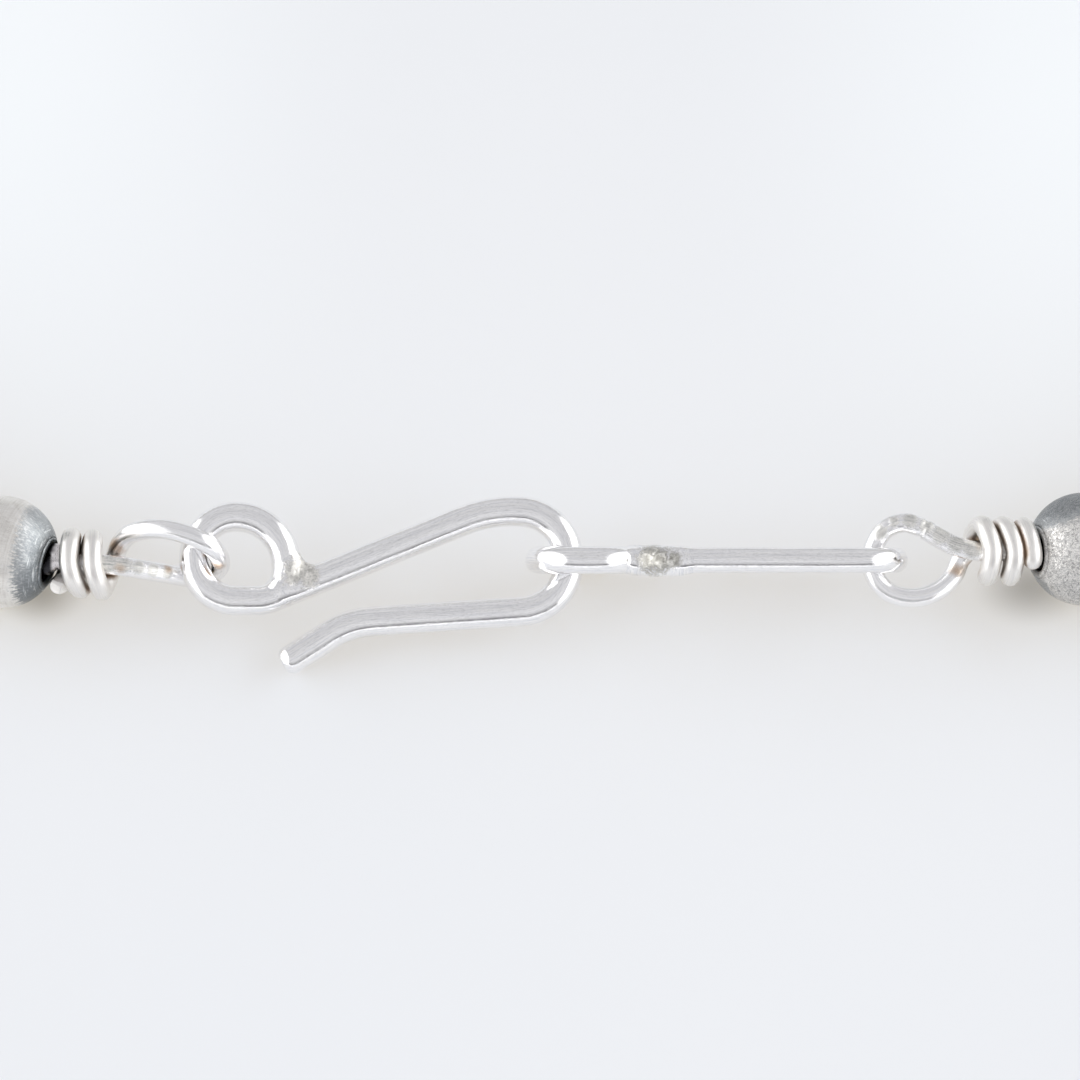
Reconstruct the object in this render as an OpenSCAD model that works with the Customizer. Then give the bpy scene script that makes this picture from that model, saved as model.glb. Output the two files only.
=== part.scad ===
// Necklace of hollow round silver beads with a hook and link clasp, lying as a closed loop.
// X runs along the clasp from left to right, Y points away from the viewer and Z is up.
// The origin is on the surface, under the middle of the loop.

/* [Beads] */
// Number of beads on the string
bead_count = 42; // [36:1:46]
// Outer diameter of a bead
bead_d = 8; // [7.6:0.1:8.4]
// Wall of a bead
bead_wall = 0.45; // [0.35:0.05:0.5]
// Radius of the open hole at each end of a bead
hole_r = 1.35; // [1.2:0.05:1.5]
// Radius of the rolled lip round a hole
lip_r = 0.28; // [0.25:0.01:0.3]
// Distance from bead to bead along the string
bead_pitch = 7.6; // [7.6:0.1:8]

/* [String] */
// Diameter of the chain inside the beads
strand_d = 1.6; // [1:0.1:1.6]
// Diameter of the chain's soldered ends beside the wrapped wire
strand_end_d = 1.9; // [1.6:0.1:1.9]
// Half the distance between the centres of the two end beads, across the clasp
clasp_half = 38.33; // [38.3:0.01:38.5]
// Angle at which the string leaves the line of the clasp
leave_angle = 12; // [10:1:16]
// Half the angle that the far side of the loop turns through
far_half_turn = 70; // [60:5:80]

/* [Clasp] */
// Angle that the clasp leans back from flat
lean = 30; // [28:1:32]
// Diameter of the hook's wire
hook_wire = 2.1; // [1.9:0.05:2.1]
// Diameter of the wire in the link's round ring
ring_wire = 1.95; // [1.8:0.05:1.95]
// Outer diameter of the link's round ring
ring_d = 8.72; // [8.7:0.01:8.8]
// Diameter of the wire in the link's long oval
oval_wire = 1.8; // [1.6:0.05:1.8]
// Outer width of the link's long oval
oval_width = 7.6; // [7:0.1:8]
// Diameter of the wire of the wrapped loops
loop_wire = 1.4; // [1.2:0.05:1.4]

/* [Hidden] */
$fn = 64;
bead_r = bead_d / 2;
SILVER = [0.84, 0.84, 0.86];
DARK_SILVER = [0.55, 0.57, 0.6];
CHAIN_SILVER = [0.66, 0.64, 0.63];

function two_digits(n) = n < 10 ? str("0", n) : str(n);
BEADS = [for (i = [1 : bead_count]) str("bead_", two_digits(i))];

// The string's half loop is an end arc and half of the far arc. Their radii follow from its length.
// The extra room beside the last bead lets that bead sit tilted.
tilt_room = 0.3;
string_length = (bead_count - 1) * bead_pitch + tilt_room;
end_turn = 180 - leave_angle - far_half_turn;
function radians(deg) = deg * PI / 180;
end_share = (sin(far_half_turn) - sin(leave_angle)) / sin(far_half_turn);
end_arc_r = (string_length / 2 - radians(far_half_turn) * clasp_half / sin(far_half_turn))
    / (radians(end_turn) + radians(far_half_turn) * end_share);
far_arc_r = clasp_half / sin(far_half_turn) + end_arc_r * end_share;
end_arc_length = end_arc_r * radians(end_turn);

// A point of the string as [x, y, heading], at a distance s from the left end bead
function end_arc_at(heading) = [
    -clasp_half + end_arc_r * (sin(leave_angle) - sin(heading)),
    end_arc_r * (cos(heading) + cos(leave_angle)),
    heading
];
function far_arc_at(heading) = [
    end_arc_at(far_half_turn)[0] + far_arc_r * (sin(far_half_turn) - sin(heading)),
    end_arc_at(far_half_turn)[1] + far_arc_r * (cos(heading) - cos(far_half_turn)),
    heading
];
function half_at(s) = s <= end_arc_length
    ? end_arc_at(180 - leave_angle - s / radians(end_arc_r))
    : far_arc_at(far_half_turn - (s - end_arc_length) / radians(far_arc_r));
function string_at(s) = s <= string_length / 2
    ? half_at(s)
    : [-half_at(string_length - s)[0], half_at(string_length - s)[1], -half_at(string_length - s)[2]];

// The end beads are turned by hand: [lift above the others, heading, rise toward the loop]
LIFT = 0;
HEADING = 1;
RISE = 2;
LEFT_END_BEAD = [0, 160.8, -6.4];
RIGHT_END_BEAD = [0.42, -175.6, 20.7];
last = bead_count - 1;
function bead_s(i) = i == last ? string_length : i * bead_pitch;
function bead_turn(i) = i == 0
    ? LEFT_END_BEAD
    : i == last ? RIGHT_END_BEAD : [0, string_at(bead_s(i))[2], 0];
function bead_centre(i) = [string_at(bead_s(i))[0], string_at(bead_s(i))[1], bead_r + bead_turn(i)[LIFT]];
function bead_axis(i) = let (turn = bead_turn(i)) [
    cos(turn[HEADING]) * cos(turn[RISE]),
    sin(turn[HEADING]) * cos(turn[RISE]),
    sin(turn[RISE])
];

// The clasp is drawn in a leaning plane: X along it, Y up it and Z out of it toward the viewer.
// The plane's zero line joins the centres of the end beads.
function lean_point(p) = [
    p[0],
    p[1] * cos(lean) - p[2] * sin(lean),
    p[1] * sin(lean) + p[2] * cos(lean) + bead_r
];

// Smooth curves and swept wires. A wire's rings are carried along it from one first side.
WIRE_CORNERS = 12;
FIRST_SIDE = [0.31, 0.17, 0.93];
function unit(v) = v / norm(v);
function spline(a, b, c, d, t) = 0.5 * (2 * b + (c - a) * t + (2 * a - 5 * b + 4 * c - d) * t * t
    + (3 * b - a - 3 * c + d) * t * t * t);
function smooth_path(points, steps) = let (end = len(points) - 1) [
    for (i = [0 : end - 1], k = [0 : steps - 1])
        spline(points[max(i - 1, 0)], points[i], points[i + 1], points[min(i + 2, end)], k / steps),
    points[end]
];
function tangents(path) = let (end = len(path) - 1) [
    for (i = [0 : end]) unit(path[min(i + 1, end)] - path[max(i - 1, 0)])
];
function carried(side, tangent) = unit(side - (side * tangent) * tangent);
function sides_along(t) = [
    for (i = 0, side = carried(FIRST_SIDE, t[0]); i < len(t);
        i = i + 1, side = i < len(t) ? carried(side, t[i]) : side) side
];

module swept_wire(path, radii, corners) {
    t = tangents(path);
    side = sides_along(t);
    end = len(path) - 1;
    skin = [
        for (i = [0 : end], j = [0 : corners - 1])
            path[i] + radii[i] * (cos(360 * j / corners) * side[i]
                + sin(360 * j / corners) * cross(t[i], side[i]))
    ];
    faces = [
        [for (j = [0 : corners - 1]) corners - 1 - j],
        [for (j = [0 : corners - 1]) end * corners + j],
        for (i = [0 : end - 1], j = [0 : corners - 1])
            [i * corners + j, i * corners + (j + 1) % corners, (i + 1) * corners + j],
        for (i = [0 : end - 1], j = [0 : corners - 1])
            [i * corners + (j + 1) % corners, (i + 1) * corners + (j + 1) % corners, (i + 1) * corners + j]
    ];
    polyhedron(points = skin, faces = [for (f = faces) [for (k = [len(f) - 1 : -1 : 0]) f[k]]]);
}

// The radius along a wire that is round at its far end over its last few rings
END_ROUNDING = [1, 0.97, 0.85, 0.5];
function round_end(count, r) = [
    for (i = [0 : count - 1])
        r * END_ROUNDING[max(0, i - (count - len(END_ROUNDING)))]
];

// Routes of the wrapped loops on the leaning plane, from inside the wraps round the loop
// and back behind the stem. Rows are [along, up, out].
LEFT_LOOP_ROUTE = [
    [-33.00, -0.80, 1.25],
    [-31.60, -0.88, 1.30],
    [-30.30, -0.95, 1.25],
    [-28.26, -1.26, 0.75],
    [-26.20, -1.62, -0.35],
    [-24.65, -1.84, -1.22],
    [-23.36, -1.48, -0.80],
    [-22.84, -0.80, 0.52],
    [-23.20, 0.12, 1.85],
    [-24.10, 0.78, 2.50],
    [-25.35, 1.30, 2.60],
    [-26.77, 1.62, 2.25],
    [-28.20, 1.58, 1.60],
    [-29.40, 1.17, 0.75],
    [-30.10, 0.30, 0.00],
    [-30.45, -0.75, -0.30]
];
RIGHT_LOOP_ROUTE = [
    [33.10, 0.05, 1.85],
    [31.90, 0.08, 1.97],
    [30.90, 0.05, 2.00],
    [29.30, 0.38, 1.92],
    [27.98, 1.03, 1.80],
    [26.77, 1.74, 1.70],
    [25.50, 2.06, 1.60],
    [24.30, 1.62, 1.50],
    [23.55, 0.55, 1.45],
    [23.28, -0.57, 1.40],
    [23.60, -1.84, 1.35],
    [24.45, -2.77, 1.30],
    [25.70, -3.20, 1.20],
    [27.06, -3.12, 1.05],
    [28.26, -2.55, 0.80],
    [29.15, -1.63, 0.50],
    [29.60, -0.60, 0.38]
];

// The wraps go on round the stem. Rows are [turn from the front in degrees, along, radius].
LEFT_WRAP_ROWS = [
    [-90, -31.10, 1.75],
    [0, -31.80, 1.80],
    [90, -31.85, 1.78],
    [180, -32.25, 1.76],
    [270, -32.72, 1.78],
    [360, -33.50, 1.80],
    [450, -33.35, 1.82],
    [540, -33.55, 1.80],
    [630, -34.05, 1.72]
];
RIGHT_WRAP_ROWS = [
    [-180, 30.15, 1.62],
    [-90, 31.05, 1.80],
    [0, 31.80, 1.82],
    [90, 31.45, 1.80],
    [180, 31.95, 1.78],
    [270, 32.55, 1.78],
    [360, 33.40, 1.80],
    [450, 33.10, 1.78],
    [540, 33.45, 1.76],
    [630, 34.02, 1.74],
    [720, 34.62, 1.72],
    [765, 34.62, 1.70]
];
// The stem inside the wraps, as [along, up, out] at one point and its slope for each unit along
LEFT_STEM = [[-32.00, -0.86, 1.27], [0, -0.06, 0.05]];
RIGHT_STEM = [[32.00, 0.08, 1.96], [0, -0.02, -0.12]];
function stem_at(stem, along) = stem[0] + (along - stem[0][0]) * stem[1]
    + [along - stem[0][0], 0, 0];
function between_rows(rows, turn, k = 0) = turn <= rows[k + 1][0] || k == len(rows) - 2
    ? let (t = (turn - rows[k][0]) / (rows[k + 1][0] - rows[k][0])) rows[k] + t * (rows[k + 1] - rows[k])
    : between_rows(rows, turn, k + 1);
function wrap_route(rows, stem, up_first) = [
    for (turn = [rows[0][0] : 45 : rows[len(rows) - 1][0]])
        let (row = between_rows(rows, turn))
            stem_at(stem, row[1]) + row[2] * [0, up_first * sin(turn), cos(turn)]
];

// The hook's wire from its soldered eye to its tip. Rows are [straight run, bend radius, turn].
// The wire starts just clear of the shank, and a ball of solder joins the two.
HOOK_START = [-18.154, -0.947];
HOOK_START_HEADING = 91.9;
HOOK_RUNS = [
    [0, 3.58, 88.1],
    [0, 2.98, 180],
    [1.49, 2.98, 22],
    [14.46, 9.65, -26],
    [0, 3.55, -172.1],
    [10.71, 6.38, 28.6],
    [3.42, 1, 0]
];
HOOK_TIP_CHAMFER = 0.3;
// How far the hook's plane stands out from the clasp's, and how much it leans out to its tip
HOOK_OUT = 0.57;
HOOK_TIP_LEAN = 5.7;
HOOK_SOLDER = [-18.05, -1.05, 1.2];
HOOK_STEP = 9;

// Place and heading of the hook's wire at the start of row i, as [x, y, heading]
function after_run(place, run) = let (
    h = place[2],
    bend = run[2] < 0 ? -run[1] : run[1],
    next = h + run[2]
) [
    place[0] + run[0] * cos(h) + bend * (sin(next) - sin(h)),
    place[1] + run[0] * sin(h) - bend * (cos(next) - cos(h)),
    next
];
function hook_place(i) = i == 0
    ? [HOOK_START[0], HOOK_START[1], HOOK_START_HEADING]
    : after_run(hook_place(i - 1), HOOK_RUNS[i - 1]);
function flat(place) = [place[0], place[1], 0];
function run_points(place, run) = let (steps = ceil(abs(run[2]) / HOOK_STEP)) concat(
    run[0] > 0 ? [flat(place)] : [],
    [for (k = [0 : steps - 1]) flat(after_run(place, [run[0], run[1], run[2] * k / steps]))]
);
function hook_path(tip) = concat(
    [for (i = [0 : len(HOOK_RUNS) - 1]) each run_points(hook_place(i), HOOK_RUNS[i])],
    [flat(tip), flat(after_run(tip, [HOOK_TIP_CHAMFER, 1, 0]))]
);

// Link: the ring stands on its edge round the hook, and the oval runs on to the right loop
RING_CENTRE = [3.13, -0.57, 0.42];
LINK_RISE = 2.6;
OVAL_LEFT = 5.32;
OVAL_RIGHT = 21.87;
LINK_SOLDER_X = 4.52;
LINK_SOLDER_R = 1.08;
LINK_SOLDER_END_R = 0.72;
LINK_SOLDER_LENGTH = 2.4;
LINK_SIDES = 32;

// The whole is moved so that its origin is under the middle of its box
front_y = -8.36;
back_y = far_arc_at(0)[1] + bead_r;
module centred() {
    translate([0, -(front_y + back_y) / 2, 0]) children();
}

module on_leaning_plane() {
    translate([0, 0, bead_r]) rotate([lean, 0, 0]) children();
}

// The lip stands out of the bead's round by a hair, and the bead's own hole ends inside the lip
LIP_STANDS_OUT = 0.02;
LIP_SIDES = 24;
module bead(i) {
    lip_ring_r = hole_r + lip_r;
    lip_distance = bead_r - lip_r + LIP_STANDS_OUT;
    lip_z = sqrt(lip_distance * lip_distance - lip_ring_r * lip_ring_r);
    color(DARK_SILVER)
    translate(bead_centre(i))
    rotate([0, 90 - bead_turn(i)[RISE], bead_turn(i)[HEADING]])
    union() {
        difference() {
            sphere(r = bead_r);
            sphere(r = bead_r - bead_wall);
            cylinder(h = bead_d + 2, r = lip_ring_r + lip_r / 4, center = true);
        }
        for (z = [-lip_z, lip_z]) {
            translate([0, 0, z])
            rotate_extrude()
            translate([lip_ring_r, 0]) circle(r = lip_r, $fn = LIP_SIDES);
        }
    }
}

// The chain runs from inside the left wraps through every bead to inside the right wraps.
// Beside the tilted end beads it is moved a little, so that it passes clear of their lips.
CHAIN_CORNERS = 8;
CHAIN_LEFT_END = [-33.25, -34.3];
CHAIN_RIGHT_END = [34.3, 33.35];
INTO_FIRST = 0.2;
OUT_OF_FIRST = [0, 0, 0.1];
OUT_OF_NEXT_TO_LAST = [0.05, -0.25, -0.3];
INTO_LAST = [0.05, 0.15, 0.2];
OUT_OF_LAST = [-0.1, 0, -0.3];
HOLE_SHARE = 0.88;
hole_z = bead_r * HOLE_SHARE;
function side_step(i, along) = bead_centre(i) + along * bead_axis(i);
function strand_points() = concat(
    [for (along = CHAIN_LEFT_END) lean_point(stem_at(LEFT_STEM, along))],
    [side_step(0, -hole_z + INTO_FIRST), side_step(0, 0), side_step(0, hole_z) + OUT_OF_FIRST],
    [for (i = [1 : last - 2], along = [-hole_z, 0, hole_z]) side_step(i, along)],
    [
        side_step(last - 1, -hole_z),
        side_step(last - 1, 0),
        side_step(last - 1, hole_z) + OUT_OF_NEXT_TO_LAST,
        side_step(last, -hole_z) + INTO_LAST,
        side_step(last, 0),
        side_step(last, hole_z) + OUT_OF_LAST
    ],
    [for (along = CHAIN_RIGHT_END) lean_point(stem_at(RIGHT_STEM, along))]
);
module strand() {
    path = strand_points();
    radii = [
        for (i = [0 : len(path) - 1])
            (i < 2 || i > len(path) - 3 ? strand_end_d : strand_d) / 2
    ];
    color(CHAIN_SILVER)
    swept_wire(path, radii, CHAIN_CORNERS);
}

LOOP_STEPS = 3;
module wrapped_loop(route, rows, stem, up_first) {
    control = concat(route, wrap_route(rows, stem, up_first));
    path = smooth_path(control, LOOP_STEPS);
    color(SILVER)
    on_leaning_plane()
    swept_wire(path, round_end(len(path), loop_wire / 2), WIRE_CORNERS);
}

module wrapped_loop_left() {
    wrapped_loop(LEFT_LOOP_ROUTE, LEFT_WRAP_ROWS, LEFT_STEM, 1);
}

module wrapped_loop_right() {
    wrapped_loop(RIGHT_LOOP_ROUTE, RIGHT_WRAP_ROWS, RIGHT_STEM, -1);
}

module hook() {
    r = hook_wire / 2;
    path = hook_path(hook_place(len(HOOK_RUNS)));
    last_ring = len(path) - 1;
    radii = [for (i = [0 : last_ring]) i == last_ring ? r - HOOK_TIP_CHAMFER : r];
    color(SILVER)
    on_leaning_plane()
    translate([0, 0, HOOK_OUT])
    rotate([-HOOK_TIP_LEAN, 0, 0])
    union() {
        swept_wire(path, radii, WIRE_CORNERS);
        translate([HOOK_SOLDER[0], HOOK_SOLDER[1], 0]) sphere(r = HOOK_SOLDER[2]);
    }
}

module link() {
    ring_r = (ring_d - ring_wire) / 2;
    r = oval_wire / 2;
    end_r = (oval_width - oval_wire) / 2;
    color(SILVER)
    on_leaning_plane()
    translate(RING_CENTRE)
    rotate([0, -LINK_RISE, 0])
    rotate([90, 0, 0])
    union() {
        rotate_extrude() translate([ring_r, 0]) circle(r = ring_wire / 2, $fn = LINK_SIDES);
        for (side = [-1, 1]) {
            translate([OVAL_LEFT + end_r, side * end_r, 0])
            rotate([0, 90, 0])
            cylinder(h = OVAL_RIGHT - OVAL_LEFT - 2 * end_r, r = r, $fn = LINK_SIDES);
        }
        translate([OVAL_LEFT + end_r, 0, 0])
        rotate([0, 0, 90])
        rotate_extrude(angle = 180) translate([end_r, 0]) circle(r = r, $fn = LINK_SIDES);
        translate([OVAL_RIGHT - end_r, 0, 0])
        rotate([0, 0, -90])
        rotate_extrude(angle = 180) translate([end_r, 0]) circle(r = r, $fn = LINK_SIDES);
        translate([LINK_SOLDER_X, 0, 0]) sphere(r = LINK_SOLDER_R);
        translate([LINK_SOLDER_X, 0, 0])
        rotate([0, 90, 0])
        cylinder(h = LINK_SOLDER_LENGTH, r1 = LINK_SOLDER_R, r2 = LINK_SOLDER_END_R);
    }
}

for (i = [0 : last]) {
    centred() bead(i);
}
centred() strand();
centred() wrapped_loop_left();
centred() wrapped_loop_right();
centred() hook();
centred() link();
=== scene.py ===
# Looks of a silver bead necklace with a hook and link clasp, dressed over its solids.
# Sizes are in millimetres up to the point where a mesh is made, which is in metres.

import math

import bpy
import numpy as np
from mathutils import Matrix


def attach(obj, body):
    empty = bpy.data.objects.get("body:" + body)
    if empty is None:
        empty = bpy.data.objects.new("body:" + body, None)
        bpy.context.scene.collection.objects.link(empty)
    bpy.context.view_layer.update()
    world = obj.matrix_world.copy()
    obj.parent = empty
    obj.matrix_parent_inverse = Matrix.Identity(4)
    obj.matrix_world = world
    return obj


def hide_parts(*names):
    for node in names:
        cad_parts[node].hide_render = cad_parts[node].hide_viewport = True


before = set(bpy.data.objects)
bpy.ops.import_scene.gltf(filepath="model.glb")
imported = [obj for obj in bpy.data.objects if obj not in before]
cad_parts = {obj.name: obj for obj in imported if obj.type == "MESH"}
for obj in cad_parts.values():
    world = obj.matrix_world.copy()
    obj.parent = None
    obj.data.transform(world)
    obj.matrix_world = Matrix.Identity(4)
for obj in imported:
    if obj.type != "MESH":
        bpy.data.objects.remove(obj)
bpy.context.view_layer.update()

MM = 0.001

# The string's plan, as in the solids. It leaves the clasp by LEAVE degrees and goes round two end arcs and
# a flatter far arc, of which FAR_HALF is half the turn
BEAD_COUNT = 42
BEAD_R = 4.0
PITCH = 7.6
TILT_ROOM = 0.3
CLASP_HALF = 38.33
LEAVE = 12
FAR_HALF = 70
FRONT_Y = -8.36

# The clasp lies on a plane that leans toward the camera
LEAN = math.radians(30)

STRING = (BEAD_COUNT - 1) * PITCH + TILT_ROOM
END_TURN = math.radians(180 - LEAVE - FAR_HALF)


def dsin(a):
    return math.sin(math.radians(a))


def dcos(a):
    return math.cos(math.radians(a))


SHARE = (dsin(FAR_HALF) - dsin(LEAVE)) / dsin(FAR_HALF)
END_R = (STRING / 2 - math.radians(FAR_HALF) * CLASP_HALF / dsin(FAR_HALF)) / (
    END_TURN + math.radians(FAR_HALF) * SHARE)
FAR_R = CLASP_HALF / dsin(FAR_HALF) + END_R * SHARE
END_LENGTH = END_R * END_TURN


def end_arc_at(h):
    """[x, y, heading] on the left end arc, where the string heads h degrees."""
    return np.array([-CLASP_HALF + END_R * (dsin(LEAVE) - dsin(h)), END_R * (dcos(h) + dcos(LEAVE)), h])


def far_arc_at(h):
    start = end_arc_at(FAR_HALF)
    return np.array([
        start[0] + FAR_R * (dsin(FAR_HALF) - dsin(h)),
        start[1] + FAR_R * (dcos(h) - dcos(FAR_HALF)),
        h])


def half_at(s):
    """[x, y, heading] at a distance s along the left half of the string."""
    if s <= END_LENGTH:
        return end_arc_at(180 - LEAVE - math.degrees(s / END_R))
    return far_arc_at(FAR_HALF - math.degrees((s - END_LENGTH) / FAR_R))


def string_at(s):
    if s <= STRING / 2:
        return half_at(s)
    return half_at(STRING - s) * [-1, 1, -1]


SHIFT = (FRONT_Y + far_arc_at(0)[1] + BEAD_R) / 2
LAST = BEAD_COUNT - 1
# How far each end bead is raised, its heading and its tilt
END_BEADS = {0: (0.0, 160.8, -6.4), LAST: (0.42, -175.6, 20.7)}


def bead_turn(i):
    if i in END_BEADS:
        return END_BEADS[i]
    return (0.0, string_at(i * PITCH)[2], 0.0)


def bead_centre(i):
    place = string_at(STRING if i == LAST else i * PITCH)
    return np.array([place[0], place[1] - SHIFT, BEAD_R + bead_turn(i)[0]])


def bead_axis(i):
    _, heading, rise = bead_turn(i)
    return np.array([dcos(heading) * dcos(rise), dsin(heading) * dcos(rise), dsin(rise)])


def lean(points):
    """Points of the leaning plane, as [along, up, out], in the row's frame."""
    p = np.atleast_2d(np.asarray(points, float))
    c, s = math.cos(LEAN), math.sin(LEAN)
    return np.stack([p[:, 0], p[:, 1] * c - p[:, 2] * s - SHIFT, p[:, 1] * s + p[:, 2] * c + BEAD_R], axis=1)


# Paths and swept wires

def smooth_path(points, steps):
    """A smooth curve through all the points, with so many steps from one to the next."""
    p = np.asarray(points, float)
    end = len(p) - 1
    out = []
    for i in range(end):
        a, b, c, d = p[max(i - 1, 0)], p[i], p[i + 1], p[min(i + 2, end)]
        for k in range(steps):
            t = k / steps
            out.append(0.5 * (2 * b + (c - a) * t + (2 * a - 5 * b + 4 * c - d) * t * t
                              + (3 * b - a - 3 * c + d) * t ** 3))
    out.append(p[end])
    return np.array(out)


def lengths(path):
    """Distance along a path of each of its points."""
    step = np.linalg.norm(np.diff(path, axis=0), axis=1)
    return np.concatenate([[0], np.cumsum(step)])


def make_mesh(name, verts, quads):
    """A smooth shaded mesh object from points in millimetres and faces."""
    mesh = bpy.data.meshes.new(name)
    mesh.from_pydata((np.asarray(verts) * MM).tolist(), [], [tuple(int(k) for k in q) for q in quads])
    mesh.update()
    mesh.polygons.foreach_set("use_smooth", [True] * len(mesh.polygons))
    obj = bpy.data.objects.new(name, mesh)
    bpy.context.scene.collection.objects.link(obj)
    return obj


def put(obj, name, values):
    """Stores a number or a vector for each point, for the materials to read."""
    values = np.asarray(values, np.float32)
    kind = "FLOAT" if values.ndim == 1 else "FLOAT_VECTOR"
    layer = obj.data.attributes.new(name, kind, "POINT")
    layer.data.foreach_set("value" if kind == "FLOAT" else "vector", values.reshape(-1))


def frames_along(path, closed=False):
    """The path's direction and a steady sideways direction at each of its points."""
    t = np.gradient(path, axis=0)
    if closed:
        t = np.roll(path, -1, axis=0) - np.roll(path, 1, axis=0)
    t /= np.linalg.norm(t, axis=1)[:, None]
    side = np.array([0.31, 0.17, 0.93])
    sides = []
    for k in range(len(path)):
        side = side - side.dot(t[k]) * t[k]
        side /= np.linalg.norm(side)
        sides.append(side)
    return t, np.array(sides)


def sweep(path, radii, corners, closed=False, relief=None):
    """Points, faces, distance along and unit direction around of a wire.
    relief(along, angle) gives how far the skin stands out there."""
    t, side = frames_along(path, closed)
    other = np.cross(t, side)
    angle = np.arange(corners) * 2 * math.pi / corners
    along = lengths(path)
    a, s = np.meshgrid(angle, along)
    r = np.asarray(radii, float)[:, None] * np.ones_like(a)
    if relief is not None:
        r = r + relief(s, a)
    ring = np.cos(a)[..., None] * side[:, None, :] + np.sin(a)[..., None] * other[:, None, :]
    verts = (path[:, None, :] + r[..., None] * ring).reshape(-1, 3)
    n = len(path)
    quads = []
    for i in range(n if closed else n - 1):
        a0, b0 = i * corners, ((i + 1) % n) * corners
        for j in range(corners):
            k = (j + 1) % corners
            quads.append((a0 + j, a0 + k, b0 + k, b0 + j))
    if not closed:
        quads.append(tuple(range(corners - 1, -1, -1)))
        quads.append(tuple((n - 1) * corners + j for j in range(corners)))
    return verts, quads, s.reshape(-1), np.stack([np.cos(a).reshape(-1), np.sin(a).reshape(-1)], axis=1)


def add_wire(name, path, radii, corners, solder, closed=False, relief=None, shape=None, gold_and_reflection=None,
             soft_from=math.inf):
    """A wire for the silver materials. solder and the golden-brown spots, partly tarnish and partly painted
    warm reflection and shade, are lists of (centre, reach). shape changes the points, and the facets that it
    cuts are flat shaded. From soft_from along it the wire is less polished."""
    whole, quads, along, round_it = sweep(np.asarray(path), radii, corners, closed, relief)
    verts = whole if shape is None else shape(whole)
    obj = make_mesh(name, verts, quads)
    cut = np.linalg.norm(verts - whole, axis=1) > 1e-6
    obj.data.polygons.foreach_set("use_smooth", [not all(cut[list(q)]) for q in quads])
    if closed:
        total = lengths(np.vstack([path, path[:1]]))[-1]
        along = np.abs(along - total / 2)
    put(obj, "along", along)
    put(obj, "around", np.column_stack([round_it, np.zeros(len(along))]))
    put(obj, "local", verts)
    put(obj, "solder", solder_cover(verts, solder))
    put(obj, "golden", solder_cover(verts, gold_and_reflection or ()))
    # Tarnish and painted shade where the wire's skin lies close to another stretch of it
    tarnish_and_shade = np.zeros(len(verts))
    if gold_and_reflection is not None:
        tarnish_and_shade = crevice(verts, path, corners) * np.clip((lengths(path)[-1] - along) / 0.6 - 1, 0, 1)
    put(obj, "tarnish_and_shade", tarnish_and_shade)
    put(obj, "soft", np.clip((along - soft_from) / 1.5, 0, 1))
    return obj


def solder_cover(points, spots):
    """1.15 at a spot's centre, 0.15 at its reach and less beyond it, down to -1."""
    cover = np.full(len(points), -1.0)
    for centre, reach in spots:
        cover = np.maximum(cover, 1.15 - np.linalg.norm(points - centre, axis=1) / reach)
    return cover


OWN_STRETCH = 2.6
CREVICE_FAR, CREVICE_FADE = 1.25, 0.5


def crevice(verts, path, corners):
    """Near 1 where the wire's own skin lies close to the line of another stretch of the wire."""
    s = lengths(path)
    own = np.repeat(s, corners)
    near = np.full(len(verts), math.inf)
    for k in range(0, len(path), 2):
        d = np.linalg.norm(verts - path[k], axis=1)
        near = np.where(np.abs(own - s[k]) > OWN_STRETCH, np.minimum(near, d), near)
    return np.clip((CREVICE_FAR - near) / CREVICE_FADE, 0, 1)


def domed(u):
    """Share of the radius at a share u of the way into a domed end, never quite 0."""
    return np.sqrt(np.clip(1 - np.clip(u, 0, 1) ** 2, 0.004, 1))


def rounded(path, r, start, end):
    """Radii of a wire whose start is domed over a length, and its end too where it has one."""
    s = lengths(path)
    out = r * domed((start - s) / start)
    if end:
        out = out * domed((s - (s[-1] - end)) / end)
    return out


# Materials

def nodes_of(name):
    """A new material with its node tree and its Principled shader."""
    mat = bpy.data.materials.new(name)
    mat.use_nodes = True
    tree = mat.node_tree
    tree.nodes.clear()
    out = tree.nodes.new("ShaderNodeOutputMaterial")
    shader = tree.nodes.new("ShaderNodeBsdfPrincipled")
    tree.links.new(shader.outputs[0], out.inputs[0])
    return mat, tree, shader


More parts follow.
